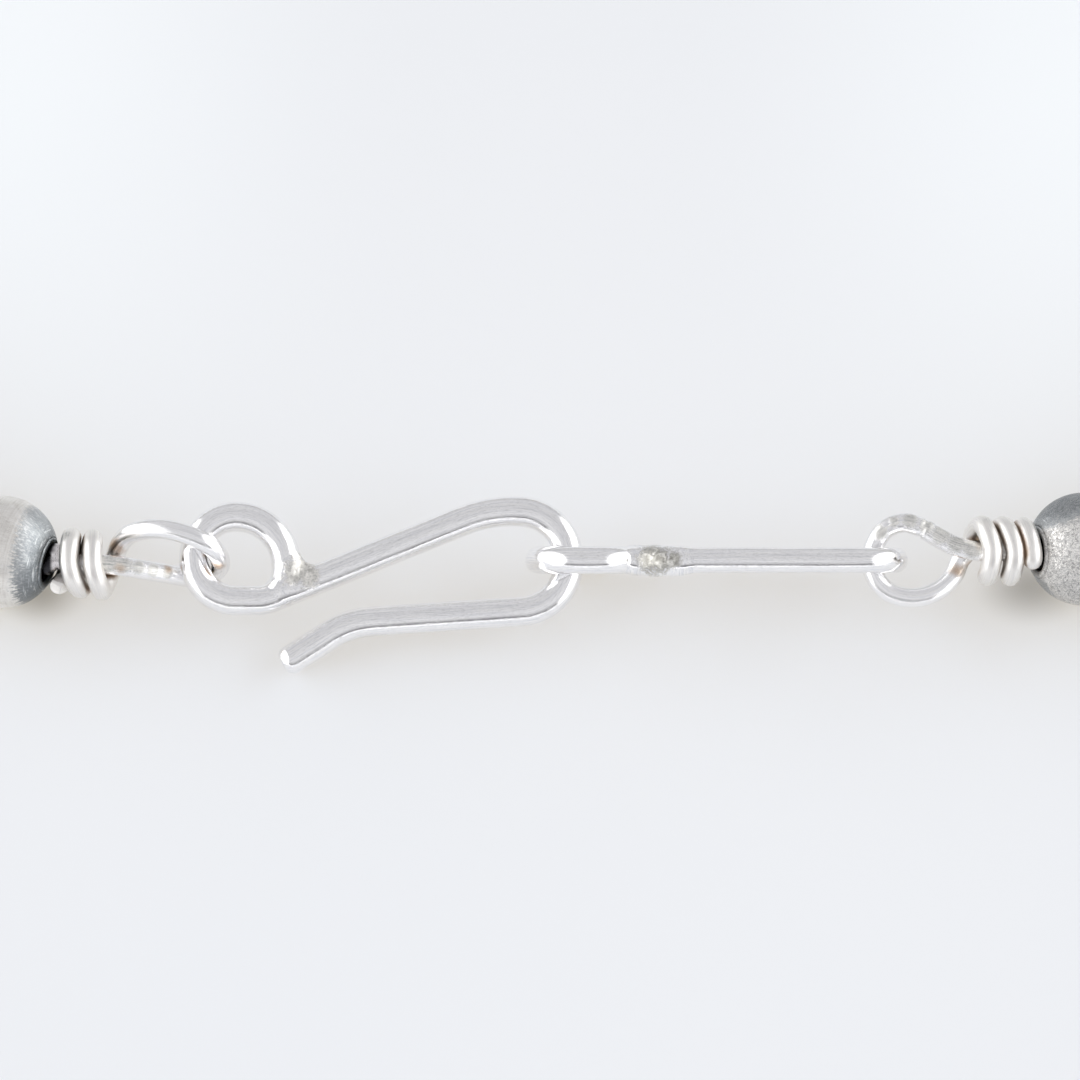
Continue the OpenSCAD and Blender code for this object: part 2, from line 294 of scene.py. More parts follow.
class Nodes:
    """Short calls that add a node to one tree and give its output."""

    def __init__(self, tree):
        self.tree = tree

    def add(self, kind, **settings):
        node = self.tree.nodes.new(kind)
        for key, value in settings.items():
            setattr(node, key, value)
        return node

    def put(self, socket, value):
        if hasattr(value, "is_output"):
            self.tree.links.new(value, socket)
        elif value is not None:
            socket.default_value = value

    def attribute(self, name, what="Fac"):
        return self.add("ShaderNodeAttribute", attribute_name=name).outputs[what]

    def math(self, op, a, b=None):
        node = self.add("ShaderNodeMath", operation=op)
        self.put(node.inputs[0], a)
        self.put(node.inputs[1], b)
        return node.outputs[0]

    def plus(self, a, b):
        return self.math("ADD", a, b)

    def minus(self, a, b):
        return self.math("SUBTRACT", a, b)

    def times(self, a, b):
        return self.math("MULTIPLY", a, b)

    def swing(self, noise, size):
        """A noise about 0 in place of one half, at so many times its size."""
        return self.times(self.minus(noise, 0.5), size)

    def blend(self, a, share_a, b, share_b):
        return self.plus(self.times(a, share_a), self.times(b, share_b))

    def vector(self, x, y, z):
        node = self.add("ShaderNodeCombineXYZ")
        for socket, value in zip(node.inputs, (x, y, z)):
            self.put(socket, value)
        return node.outputs[0]

    def parts(self, vector):
        node = self.add("ShaderNodeSeparateXYZ")
        self.put(node.inputs[0], vector)
        return node.outputs

    def scaled(self, vector, factors):
        node = self.add("ShaderNodeVectorMath", operation="MULTIPLY")
        self.put(node.inputs[0], vector)
        node.inputs[1].default_value = factors
        return node.outputs[0]

    def noise(self, vector, scale, detail=2.0, roughness=0.5, distortion=0.0):
        node = self.add("ShaderNodeTexNoise")
        self.put(node.inputs["Vector"], vector)
        node.inputs["Scale"].default_value = scale
        node.inputs["Detail"].default_value = detail
        node.inputs["Roughness"].default_value = roughness
        node.inputs["Distortion"].default_value = distortion
        return node.outputs[0]

    def ramp(self, fac, stops):
        """A ramp from (place, value) stops, where a value is a number or a colour."""
        node = self.add("ShaderNodeValToRGB")
        self.put(node.inputs[0], fac)
        band = node.color_ramp
        while len(band.elements) < len(stops):
            band.elements.new(0.5)
        for element, (place, value) in zip(band.elements, stops):
            element.position = place
            rgb = value if isinstance(value, (tuple, list)) else (value,) * 3
            element.color = (*rgb, 1)
        return node.outputs[0]

    def mix(self, fac, a, b, blend="MIX"):
        node = self.add("ShaderNodeMix", data_type="RGBA", blend_type=blend)
        self.put(node.inputs[0], fac)
        for socket, value in ((node.inputs[6], a), (node.inputs[7], b)):
            if isinstance(value, (tuple, list)):
                value = (*value, 1) if len(value) == 3 else value
            self.put(socket, value)
        return node.outputs[2]

    def step(self, value, low, high):
        """0 at low, 1 at high and smooth between, also where low is the greater of the two."""
        node = self.add("ShaderNodeMapRange", interpolation_type="SMOOTHSTEP")
        self.put(node.inputs[0], value)
        node.inputs[1].default_value = low
        node.inputs[2].default_value = high
        return node.outputs[0]

    def bump(self, height, strength, distance):
        node = self.add("ShaderNodeBump")
        node.inputs["Strength"].default_value = strength
        node.inputs["Distance"].default_value = distance
        self.put(node.inputs["Height"], height)
        return node.outputs[0]


def silver_wire_material(name, rough, drawn, mottles, streaky=0.0):
    """Wire with drawn lines. rough is its (lowest, highest) roughness, drawn the strength of its lines and
    mottles the colours of its solder, of which streaky is the share that runs along the wire. Its points
    hold the place along and around it, how soldered and unpolished it is, where it is golden-brown with
    tarnish and painted warm reflection and shade, and where its crevices hold tarnish and painted shade."""
    mat, tree, shader = nodes_of(name)
    n = Nodes(tree)
    along = n.attribute("along")
    x, y, _ = n.parts(n.attribute("around", "Vector"))
    local = n.attribute("local", "Vector")
    # Drawn lines run along the wire, so the pattern is fine around it and long along it
    lines = n.noise(n.vector(x, y, n.times(along, 0.03)), 9.0, 3.0, 0.66)
    fine = n.noise(n.vector(x, y, n.times(along, 0.07)), 34.0, 2.0, 0.6)
    cloud = n.noise(local, 0.75, 3.0, 0.6)
    speck = n.noise(local, 5.5, 3.0, 0.7)
    tone = n.ramp(lines, [
        (0.38, (0.87, 0.87, 0.885)), (0.47, (0.935, 0.93, 0.94)), (0.60, (0.975, 0.97, 0.965))])
    tone = n.mix(drawn, tone, n.ramp(fine, [(0.36, 0.80), (0.47, 1.0)]), "MULTIPLY")
    tone = n.mix(0.35, tone, n.ramp(speck, [(0.30, 0.80), (0.42, 1.0)]), "MULTIPLY")
    tone = n.mix(n.attribute("soft"), tone, n.mix(1.0, tone, (0.91, 0.895, 0.86), "MULTIPLY"))
    # Tarnish and painted shade in the crevices, where the wire lies close to another stretch of itself
    uneven = n.swing(cloud, 0.9)
    crevice_tarnish_shade = n.step(n.plus(n.attribute("tarnish_and_shade"), uneven), 0.25, 0.95)
    tone = n.mix(n.times(crevice_tarnish_shade, 0.85), tone, (0.31, 0.215, 0.145))
    # Golden-brown tarnish, in places a painted warm reflection and shade
    gold = n.step(n.plus(n.attribute("golden"), uneven), 0.30, 1.0)
    # Mottled solder, or on a loop the greyed and scraped stretches
    patch = n.noise(local, 2.2, 4.0, 0.66, 0.8)
    grit = n.noise(local, 8.0, 3.0, 0.65)
    if streaky:
        patch = n.blend(patch, 1 - streaky, lines, streaky)
    ragged = n.swing(patch, 1.3)
    cover = n.step(n.plus(n.attribute("solder"), ragged), 0.30, 0.66)
    mottle = n.ramp(patch, mottles)
    mottle = n.mix(0.5, mottle, n.ramp(grit, [(0.36, 0.55), (0.52, 1.0)]), "MULTIPLY")
    tone = n.mix(cover, tone, mottle)
    n.put(shader.inputs["Base Color"], n.mix(n.times(gold, 0.75), tone, (0.50, 0.335, 0.20)))
    plain = n.ramp(cloud, [(0.35, rough[0]), (0.68, rough[1])])
    plain = n.mix(n.attribute("soft"), plain, (0.40, 0.40, 0.40))
    plain = n.mix(crevice_tarnish_shade, plain, (0.42, 0.42, 0.42))
    n.put(shader.inputs["Roughness"], n.mix(cover, plain, n.ramp(grit, [(0.35, 0.28), (0.65, 0.46)])))
    height = n.blend(lines, 0.5, fine, 0.2)
    bumps = n.blend(patch, 1.8, grit, 1.1)
    height = n.mix(cover, height, bumps)
    n.put(shader.inputs["Normal"], n.bump(height, 0.32, 0.00005))
    shader.inputs["Metallic"].default_value = 1.0
    return mat


def strand_material():
    """Woven silver chain, dark in its hollows, and painted near-black as shade inside the beads, where its
    shade value is low.
    """
    mat, tree, shader = nodes_of("foxtail_silver")
    n = Nodes(tree)
    deep = n.attribute("relief")
    grit = n.noise(n.vector(n.attribute("along"), deep, 0.0), 4.0, 3.0, 0.6)
    tone = n.ramp(deep, [(0.0, (0.10, 0.095, 0.10)), (0.45, (0.52, 0.49, 0.50)), (1.0, (0.93, 0.90, 0.90))])
    tone = n.mix(0.3, tone, n.ramp(grit, [(0.35, 0.6), (0.65, 1.0)]), "MULTIPLY")
    # Painted shade: near black where the shade value is low
    n.put(shader.inputs["Base Color"], n.mix(n.attribute("painted_shade"), (0.02, 0.02, 0.025), tone))
    n.put(shader.inputs["Roughness"], n.ramp(grit, [(0.3, 0.22), (0.7, 0.38)]))
    shader.inputs["Metallic"].default_value = 1.0
    return mat


def bead_material():
    """Satin silver with an oxidised film round the holes. Its points hold the place in the bead's own
    frame, the distance from the nearer hole's centre along the skin, how much film is left and how much
    darker it is, whether the bead is scuffed, and a seed that sets its noise apart from the other beads'."""
    mat, tree, shader = nodes_of("oxidised_silver_bead")
    n = Nodes(tree)
    local = n.attribute("local", "Vector")
    x, y, z = n.parts(local)
    wide = n.math("SQRT", n.blend(x, x, y, y))
    cx, cy = n.math("DIVIDE", x, wide), n.math("DIVIDE", y, wide)
    skin = n.attribute("skin")
    patina = n.attribute("patina")
    scuffed = n.attribute("scuffed")
    seed = n.attribute("seed")

    def pattern(round_it, over, detail, rough):
        """Noise with its own scale round the hole and away from it."""
        away = n.plus(n.times(skin, over), seed)
        return n.noise(n.vector(n.times(cx, round_it), n.times(cy, round_it), away),
                       1.0, detail, rough)

    # Brush strokes run away from the hole, and wear lines run round it
    strokes = pattern(24.0, 2.0, 3.0, 0.66)
    hairs = pattern(58.0, 2.6, 2.0, 0.6)
    rings = pattern(1.7, 8.5, 3.0, 0.68)
    cloud = n.noise(n.vector(n.plus(x, seed), y, z), 0.55, 4.0, 0.6, 0.5)
    grain = n.noise(n.vector(n.plus(x, seed), y, z), 7.0, 3.0, 0.7)
    edge = n.plus(patina, n.swing(strokes, 0.9))
    edge = n.plus(edge, n.swing(hairs, 0.7))
    dark = n.step(edge, 0.42, 0.60)
    # Bare satin metal and the film over it
    satin = n.plus(n.blend(hairs, 0.25, cloud, 0.35), n.times(rings, 0.4))
    bare = n.ramp(satin, [
        (0.38, (0.66, 0.635, 0.60)), (0.5, (0.80, 0.78, 0.745)), (0.62, (0.90, 0.885, 0.86))])
    thick = n.attribute("thick")
    tone = n.blend(cloud, 0.55, grain, 0.45)
    tone = n.minus(n.plus(tone, 0.04), n.times(thick, 0.22))
    film = n.ramp(tone, [
        (0.36, (0.172, 0.186, 0.196)), (0.5, (0.268, 0.287, 0.300)), (0.62, (0.40, 0.42, 0.43))])
    # The film is thin near its edge, where the brush went through it in bright marks
    thin = n.step(patina, 1.15, 0.55)
    thinned = n.times(thin, n.minus(0.52, n.times(thick, 0.35)))
    film = n.mix(thinned, film, (0.56, 0.575, 0.585))
    marks = n.step(n.blend(strokes, 0.5, hairs, 0.5), 0.50, 0.60)
    shown = n.times(n.plus(n.times(thin, 0.45), 0.2), n.minus(1.1, thick))
    film = n.mix(n.times(marks, shown), film, (0.86, 0.86, 0.85))
    worn = n.times(n.step(rings, 0.55, 0.63), n.step(skin, 3.6, 2.8))
    worn = n.times(worn, n.step(cloud, 0.44, 0.56))
    film = n.mix(n.times(worn, 0.7), film, (0.84, 0.86, 0.86))
    lip = n.times(n.step(wide, 1.80, 1.72), n.minus(1.0, n.times(scuffed, 0.8)))
    film = n.mix(lip, film, (0.075, 0.085, 0.09))
    # Crossing scratches of a scuffed bead
    one = n.noise(n.scaled(local, (9.0, 2.6, 2.2)), 1.0, 3.0, 0.7, 0.6)
    two = n.noise(n.scaled(local, (2.4, 8.0, 3.4)), 1.0, 3.0, 0.7, 0.6)
    cuts = n.math("MINIMUM", n.math("ABSOLUTE", n.minus(one, 0.5)),
                  n.math("ABSOLUTE", n.minus(two, 0.5)))
    scratch = n.times(n.step(cuts, 0.034, 0.006), scuffed)
    bare = n.mix(n.times(scuffed, 0.6), bare, (0.79, 0.775, 0.75))
    pits = n.noise(local, 4.4, 4.0, 0.72, 0.4)
    flecks = n.times(n.step(pits, 0.50, 0.62), scuffed)
    bare = n.mix(n.times(flecks, 0.8), bare, (0.27, 0.265, 0.26))
    bare = n.mix(n.times(scratch, 0.75), bare, (0.26, 0.26, 0.265))
    film = n.mix(n.times(scratch, 0.35), film, (0.70, 0.70, 0.70))
    n.put(shader.inputs["Base Color"], n.mix(dark, bare, film))
    rough = n.mix(dark, n.ramp(hairs, [(0.3, 0.28), (0.7, 0.40)]), n.ramp(cloud, [(0.3, 0.36), (0.7, 0.48)]))
    n.put(shader.inputs["Roughness"], rough)
    height = n.plus(n.blend(hairs, 0.5, strokes, 0.5), n.times(rings, 0.35))
    height = n.minus(height, n.times(scratch, 0.5))
    n.put(shader.inputs["Normal"], n.bump(height, 0.45, 0.00006))
    shader.inputs["Metallic"].default_value = 1.0
    return mat


# Mottles of the solder, and of the greyed stretches of the loops, from dark to light
HOOK_SOLDER = [(0.34, (0.50, 0.488, 0.46)), (0.48, (0.68, 0.665, 0.63)), (0.64, (0.90, 0.88, 0.84))]
LINK_SOLDER = [(0.37, (0.29, 0.28, 0.255)), (0.50, (0.47, 0.46, 0.425)), (0.66, (0.81, 0.795, 0.76))]
LOOP_GREY = [(0.36, (0.46, 0.46, 0.445)), (0.47, (0.66, 0.655, 0.63)), (0.60, (0.90, 0.885, 0.85))]
HOOK_SILVER = silver_wire_material("drawn_silver_wire", (0.07, 0.12), 0.75, HOOK_SOLDER)
LINK_SILVER = silver_wire_material("drawn_silver_link", (0.07, 0.12), 0.75, LINK_SOLDER)
LOOP_SILVER = silver_wire_material("burnished_silver_wire", (0.15, 0.24), 0.45, LOOP_GREY, 0.7)
FOXTAIL = strand_material()
BEAD = bead_material()


def dress(obj, material, slot, *nodes):
    """Gives a piece its material and its body, and hides the nodes that it replaces. slot is not used."""
    obj.data.materials.append(material)
    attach(obj, "root")
    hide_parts(*nodes)


# Beads

WALL = 0.45
LIP_R = 0.28
HOLE_R = 1.35
LIP_INSIDE_R = 1.75
SEAM_DEPTH = 0.06


def bead_outline(fine):
    """Radius and height round a bead's section: its skin, the lip of the hole and the inside wall."""
    lip_ring = HOLE_R + LIP_R
    far = BEAD_R - LIP_R + 0.02
    lip_z = math.sqrt(far ** 2 - lip_ring ** 2)
    outward = math.atan2(lip_z, lip_ring)
    seam = math.pi / 2 - outward + math.radians(2.1)

    def arc(r, first, last, count):
        return [(r * math.sin(a), r * math.cos(a)) for a in np.linspace(first, last, count)]

    half = arc(BEAD_R, math.pi / 2, seam + 0.02, fine) + arc(BEAD_R - SEAM_DEPTH, seam - 0.002, seam, 1)
    # The lip goes from the seam over the top, into the hole and round to the inside wall
    half += [(lip_ring + LIP_R * math.cos(a), lip_z + LIP_R * math.sin(a))
             for a in np.linspace(outward - 1.25, outward + 2.5, 16)]
    inner = BEAD_R - WALL
    half += arc(inner, math.asin(LIP_INSIDE_R / inner), math.pi / 2, fine // 2)
    return np.array(half + [(r, -z) for r, z in half[-2:0:-1]])


# The last bead's clasp end has film on its upper shoulder and a thin film on its lower shoulder that is
# partly painted shade, as [along, up, out], and its hole turned a little
FILM_TOP = [-0.35, 0.90, 0.10]
LOW_FILM_AND_SHADE = [-0.75, -0.65, 0.10]
HOLE_TURN = math.radians(10)
OUTSIDE_R = 3.6
IN_HOLE = 1.6


def directions(sides):
    """Directions [along, up, out] of the leaning plane, in the row's frame."""
    return lean(sides) - lean([[0, 0, 0]])


def hole_lowered(offsets, local_z, axis):
    """Turns the clasp end of a bead a little downward, which leaves its other half as it is."""
    about = np.cross(directions([[0, 1, 0]])[0], axis)
    about /= np.linalg.norm(about)
    share = np.clip(local_z / BEAD_R / 0.8, 0, 1)
    a = (HOLE_TURN * share * share * (3 - 2 * share))[:, None]
    across = np.cross(np.tile(about, (len(offsets), 1)), offsets)
    return offsets * np.cos(a) + across * np.sin(a) + about * (offsets @ about)[:, None] * (1 - np.cos(a))


def film_left(i, local, offsets, upward):
    """How much film is left on each point of a bead, of which about 0.5 and more looks dark."""
    height = local[:, 2]
    outside = np.linalg.norm(local, axis=1) > OUTSIDE_R
    tilt = -0.5 * upward if i == 0 else 0.0
    film = np.clip((np.abs(height) - 0.85 - tilt) / 2.0, 0, 2)
    if i == LAST:
        top, low = (offsets @ side / BEAD_R for side in directions([FILM_TOP, LOW_FILM_AND_SHADE]))
        # The thin film on the lower shoulder is partly painted shade
        left = np.maximum(1.15 * np.clip((top - 0.42) / 0.45, 0, 1),
                          0.62 * np.clip((low - 0.85) / 0.12, 0, 1))
        left = left * np.clip((height + 1) / 1.5, 0, 1)
        film = np.where(height < 0, np.maximum(left, film), left)
    return np.where(outside, film, IN_HOLE)


# How much darker the film is: 0.35 on most beads, 0.7 on the last, and on the first bead darker towards its
# lower side
def film_darkening(i, upward):
    if i == 0:
        return np.clip(0.35 - 0.9 * upward, 0, 1)
    return np.full(len(upward), 0.7 if i == LAST else 0.35)


def add_bead(i):
    end = i in END_BEADS
    outline = bead_outline(34 if end else 15)
    around = 144 if end else 56
    z = bead_axis(i)
    x = np.cross([0, 0, 1], z)
    x /= np.linalg.norm(x)
    y = np.cross(z, x)
    count = len(outline)
    angle = np.arange(around) * 2 * math.pi / around
    r, h = outline[:, 0][None, :], outline[:, 1][None, :]
    local = np.stack([r * np.cos(angle)[:, None], r * np.sin(angle)[:, None], h * np.ones((around, 1))],
                     axis=2).reshape(-1, 3)
    offsets = local @ np.array([x, y, z])
    if i == LAST:
        offsets = hole_lowered(offsets, local[:, 2], z)
    verts = bead_centre(i) + offsets
    quads = []
    for j in range(around):
        a0, b0 = j * count, ((j + 1) % around) * count
        for k in range(count):
            m = (k + 1) % count
            quads.append((a0 + k, a0 + m, b0 + m, b0 + k))
    obj = make_mesh("bead_%02d_silver" % (i + 1), verts, quads)
    put(obj, "local", local)
    polar = np.arctan2(np.hypot(local[:, 0], local[:, 1]), np.abs(local[:, 2]))
    upward = offsets @ directions([[0, 1, 0]])[0] / BEAD_R
    put(obj, "patina", film_left(i, local, offsets, upward))
    put(obj, "thick", film_darkening(i, upward))
    put(obj, "skin", polar * BEAD_R)
    put(obj, "scuffed", np.full(len(local), 1.0 if i == LAST else 0.0))
    put(obj, "seed", np.full(len(local), 3.7 * (i + 1) % 41))
    dress(obj, BEAD, "bead_silver", "bead_%02d" % (i + 1))


for i in range(BEAD_COUNT):
    add_bead(i)


# The wrapped loops, with the same routes as their solids. A row of a wrap is [degrees round the stem, place
# along it, radius], and a stem is a point and its [-, up, out] for each step along

LEFT_LOOP_ROUTE = [
    [-33.00, -0.80, 1.25], [-31.60, -0.88, 1.30], [-30.30, -0.95, 1.25], [-28.26, -1.26, 0.75],
    [-26.20, -1.62, -0.35], [-24.65, -1.84, -1.22], [-23.36, -1.48, -0.80], [-22.84, -0.80, 0.52],
    [-23.20, 0.12, 1.85], [-24.10, 0.78, 2.50], [-25.35, 1.30, 2.60], [-26.77, 1.62, 2.25],
    [-28.20, 1.58, 1.60], [-29.40, 1.17, 0.75], [-30.10, 0.30, 0.00], [-30.45, -0.75, -0.30]]
RIGHT_LOOP_ROUTE = [
    [33.10, 0.05, 1.85], [31.90, 0.08, 1.97], [30.90, 0.05, 2.00], [29.30, 0.38, 1.92],
    [27.98, 1.03, 1.80], [26.77, 1.74, 1.70], [25.50, 2.06, 1.60], [24.30, 1.62, 1.50],
    [23.55, 0.55, 1.45], [23.28, -0.57, 1.40], [23.60, -1.84, 1.35], [24.45, -2.77, 1.30],
    [25.70, -3.20, 1.20], [27.06, -3.12, 1.05], [28.26, -2.55, 0.80], [29.15, -1.63, 0.50],
    [29.60, -0.60, 0.38]]
LEFT_WRAP_ROWS = [
    [-90, -31.10, 1.75], [0, -31.80, 1.80], [90, -31.85, 1.78], [180, -32.25, 1.76], [270, -32.72, 1.78],
    [360, -33.50, 1.80], [450, -33.35, 1.82], [540, -33.55, 1.80], [630, -34.40, 1.72]]
RIGHT_WRAP_ROWS = [
    [-180, 30.15, 1.62], [-90, 31.05, 1.80], [0, 31.80, 1.82], [90, 31.45, 1.80], [180, 31.95, 1.78],
    [270, 32.55, 1.78], [360, 33.40, 1.80], [450, 33.10, 1.78], [540, 33.45, 1.76], [630, 34.02, 1.74],
    [720, 34.62, 1.72], [765, 34.62, 1.70]]
LEFT_STEM = np.array([[-32.00, -0.86, 1.27], [0, -0.06, 0.05]])
RIGHT_STEM = np.array([[32.00, 0.08, 1.96], [0, -0.02, -0.12]])
LOOP_R = 0.7
LOOP_CORNERS = 36
START_DOME, END_DOME = 0.3, 0.85
# The left loop's end has facets, each an outward direction [along, up, out] and a height over the wire's
# last point. It narrows over TAIL_TAPER by TAIL_THIN, and TAIL_CAP rings close it
TAIL_CUTS = (([-0.10, 0.05, 0.99], 0.03), ([-0.55, -0.55, 0.63], 0.20), ([0.55, -0.40, 0.73], 0.26),
             ([0.15, 0.65, 0.74], 0.26))
TAIL_TAPER = 0.5
TAIL_THIN = 0.2
TAIL_CAP = 7
TAIL_RINGS = 8 + TAIL_CAP
# Greyed places of the loops, and golden-brown places that are partly tarnish and partly painted warm
# reflection and shade, as [along, up, out] and reach
LEFT_GREYED = [([-30.7, -0.8, 2.0], 1.0), ([-29.6, -0.9, 1.9], 0.9), ([-28.6, -1.1, 1.5], 0.7),
               ([-27.6, -1.3, 1.1], 0.7), ([-26.6, -1.5, 0.6], 0.6), ([-33.9, 1.2, 2.6], 0.8)]
LEFT_GOLD_AND_REFLECTION = [([-30.2, 0.6, 0.5], 1.15), ([-31.6, 0.9, 1.0], 0.8), ([-23.6, 0.1, 1.2], 0.75),
               ([-29.9, -1.25, 2.0], 0.8), ([-26.45, -1.1, 0.6], 0.65), ([-23.0, -0.9, 1.4], 0.75)]
RIGHT_GREYED = [([30.4, 0.2, 2.6], 1.0), ([29.3, 0.6, 2.5], 1.0), ([28.2, 1.2, 2.3], 1.0),
                ([27.2, 1.8, 2.2], 0.8), ([26.0, 2.2, 2.1], 0.8), ([24.9, 2.1, 2.0], 0.6),
                ([23.9, 1.4, 2.0], 0.8), ([31.4, 1.9, 2.9], 0.8)]
RIGHT_GOLD_AND_REFLECTION = [([29.4, -1.3, 0.9], 0.9), ([30.4, -1.0, 0.9], 0.8), ([31.0, 0.9, 1.6], 0.7),
                ([30.9, 0.3, 2.3], 0.6)]
# The nick on the right loop, with a raised edge, as (height, place along the wire, width)
NICK = ((0.045, 6.25, 0.14), (-0.11, 6.5, 0.13))


def stem_at(stem, along):
    """The stem's own line at a place along it."""
    d = along - stem[0][0]
    return stem[0] + d * stem[1] + [d, 0, 0]


def wrap_route(rows, stem, up_first):
    """Points of the turns round a stem, which go up in front of it where up_first is 1 and down where -1."""
    rows = np.array(rows, float)
    out = []
    for turn in np.arange(rows[0, 0], rows[-1, 0] + 1, 45):
        along, r = (np.interp(turn, rows[:, 0], rows[:, k]) for k in (1, 2))
        out.append(stem_at(stem, along) + r * np.array([0, up_first * dsin(turn), dcos(turn)]))
    return out


def end_cuts(line, corners, cuts, rings=16):
    """Gives a function that makes flat cuts across the last rings of a wire. Each cut has its outward
    direction as [along, up, out], and its height over the wire's last point."""
    t = line[-1] - line[-12]
    t /= np.linalg.norm(t)

    def shape(verts):
        last = verts[-rings * corners:].copy()
        for normal, height in cuts:
            face = directions([normal])[0]
            face /= np.linalg.norm(face)
            over = np.maximum((last - line[-1]) @ face - height, 0)
            last -= np.outer(over / face.dot(t), t)
        return np.vstack([verts[:-rings * corners], last])

    return shape


def leaning(spots):
    """Spots ([along, up, out], reach) in the row's frame."""
    return [(lean([place])[0], reach) for place, reach in spots]


def add_loop(name, route, rows, stem, up_first, greyed, gold_and_reflection, relief=None):
    control = np.vstack([route, wrap_route(rows, stem, up_first)])
    path = lean(smooth_path(control, 10))
    cut = up_first > 0
    radii = rounded(path, LOOP_R, start=START_DOME, end=None if cut else END_DOME)
    shape = None
    if cut:
        left = lengths(path)[-1] - lengths(path)
        radii = radii * (1 - TAIL_THIN * np.clip(1 - left / TAIL_TAPER, 0, 1))
        # The cap's rings are nearly flat on the end, so that the facets have points to move
        shares = np.arange(1, TAIL_CAP + 1) / TAIL_CAP
        ahead = (path[-1] - path[-2]) / np.linalg.norm(path[-1] - path[-2])
        radii = np.concatenate([radii, radii[-1] * (1 - 0.97 * shares)])
        path = np.vstack([path, path[-1] + 0.01 * np.outer(shares, ahead)])
        shape = end_cuts(path, LOOP_CORNERS, TAIL_CUTS, TAIL_RINGS)
    obj = add_wire(name + "_wire", path, radii, LOOP_CORNERS, relief=relief, shape=shape,
                   solder=leaning(greyed), gold_and_reflection=leaning(gold_and_reflection),
                   soft_from=lengths(lean(smooth_path(route, 10)))[-1])
    dress(obj, LOOP_SILVER, "clasp_silver", name)


def nick(s, a):
    return sum(height * np.exp(-((s - place) / width) ** 2) for height, place, width in NICK)


add_loop("wrapped_loop_left", LEFT_LOOP_ROUTE, LEFT_WRAP_ROWS, LEFT_STEM, 1, LEFT_GREYED, LEFT_GOLD_AND_REFLECTION)
add_loop("wrapped_loop_right", RIGHT_LOOP_ROUTE, RIGHT_WRAP_ROWS, RIGHT_STEM, -1, RIGHT_GREYED,
         RIGHT_GOLD_AND_REFLECTION, nick)


# The hook. A run is a straight length, then a bend of a radius and degrees, turning right where negative.
# It starts at (x, y, heading) on its own plane, which lies HOOK_OUT nearer the viewer and leans by
# HOOK_TIP_LEAN degrees. The tip narrows over TIP_DOME, and its facets are given as those of the left loop
HOOK_RUNS = [[0.7, 3.58, 102], [0, 2.98, 180], [1.49, 2.98, 22], [14.46, 9.65, -26], [0, 3.55, -172.1],
             [10.71, 6.38, 28.6], [3.42, 1, 0]]
HOOK_START = (-18.376, -2.495, 78)
HOOK_OUT = 0.57
HOOK_TIP_LEAN = 5.7
HOOK_R = 1.05
HOOK_CORNERS = 48
TIP_DOME = 0.7
TIP_CUTS = (([-0.62, -0.08, 0.78], 0.46), ([-0.45, -0.70, 0.55], 0.62), ([-0.90, -0.42, 0.0], -0.04))


def after_run(place, run):
    """(x, y, heading) after a run that starts at such a place."""
    x, y, h = place
    bend = -run[1] if run[2] < 0 else run[1]
    n = h + run[2]
    return (x + run[0] * dcos(h) + bend * (dsin(n) - dsin(h)),
            y + run[0] * dsin(h) - bend * (dcos(n) - dcos(h)), n)


def hook_plane(points):
    """Points [x, y, out] of the hook's own plane on the leaning plane."""
    p = np.atleast_2d(np.asarray(points, float))
    c, s = dcos(-HOOK_TIP_LEAN), dsin(-HOOK_TIP_LEAN)
    return np.stack([p[:, 0], p[:, 1] * c - p[:, 2] * s, p[:, 1] * s + p[:, 2] * c + HOOK_OUT], axis=1)


def hook_path():
    """Points [x, y, 0] along the runs, a quarter of a millimetre or 3 degrees apart, and past the last one
    as far as the tip's end."""
    place, pts = HOOK_START, []
    for run in HOOK_RUNS:
        steps = int(run[0] / 0.25)
        for k in range(steps):
            d = k / steps * run[0]
            pts.append((place[0] + d * dcos(place[2]), place[1] + d * dsin(place[2]), 0))
        steps = int(abs(run[2]) / 3)
        for k in range(steps):
            q = after_run(place, [run[0], run[1], run[2] * k / steps])
            pts.append((q[0], q[1], 0))
        place = after_run(place, run)
    pts.append((place[0], place[1], 0))
    pts = np.array(pts)
    ahead = (pts[-1] - pts[-2]) / np.linalg.norm(pts[-1] - pts[-2])
    return np.vstack([pts, [pts[-1] + ahead * d for d in np.linspace(0.05, 0.5, 9)]])


def hook_radii(path):
    """Radii of the hook's wire, which narrows toward its tip."""
    left = lengths(path)[-1] - lengths(path)
    return HOOK_R * np.sqrt(1 - 0.80 * np.clip(1 - left / TIP_DOME, 0, 1) ** 2.2)


def on_hook(rows):
    """Rows (x, y, out, size) of the hook's plane as (place in the row's frame, size)."""
    return [(lean(hook_plane([row[:3]]))[0], row[3]) for row in rows]


hook_line = lean(hook_plane(hook_path()))
hook_spots = on_hook([(-17.35, -1.45, 0.35, 1.6), (-16.55, -1.85, 0.7, 1.2)])
hook_obj = add_wire("hook_wire", hook_line, hook_radii(hook_line), HOOK_CORNERS, solder=hook_spots,
                    shape=end_cuts(hook_line, HOOK_CORNERS, TIP_CUTS))
dress(hook_obj, HOOK_SILVER, "clasp_silver", "hook")


# The link

RING_CENTRE = np.array([3.13, -0.57, 0.42])
LINK_RISE = 2.6
RING_LINE_R = (8.72 - 1.95) / 2
RING_WIRE_R = 0.975
OVAL_WIRE_R = 0.9
OVAL_LEFT, OVAL_RIGHT = 5.32, 21.87
OVAL_END_R = 2.9
LINK_CORNERS = 40
RING_POINTS = 120


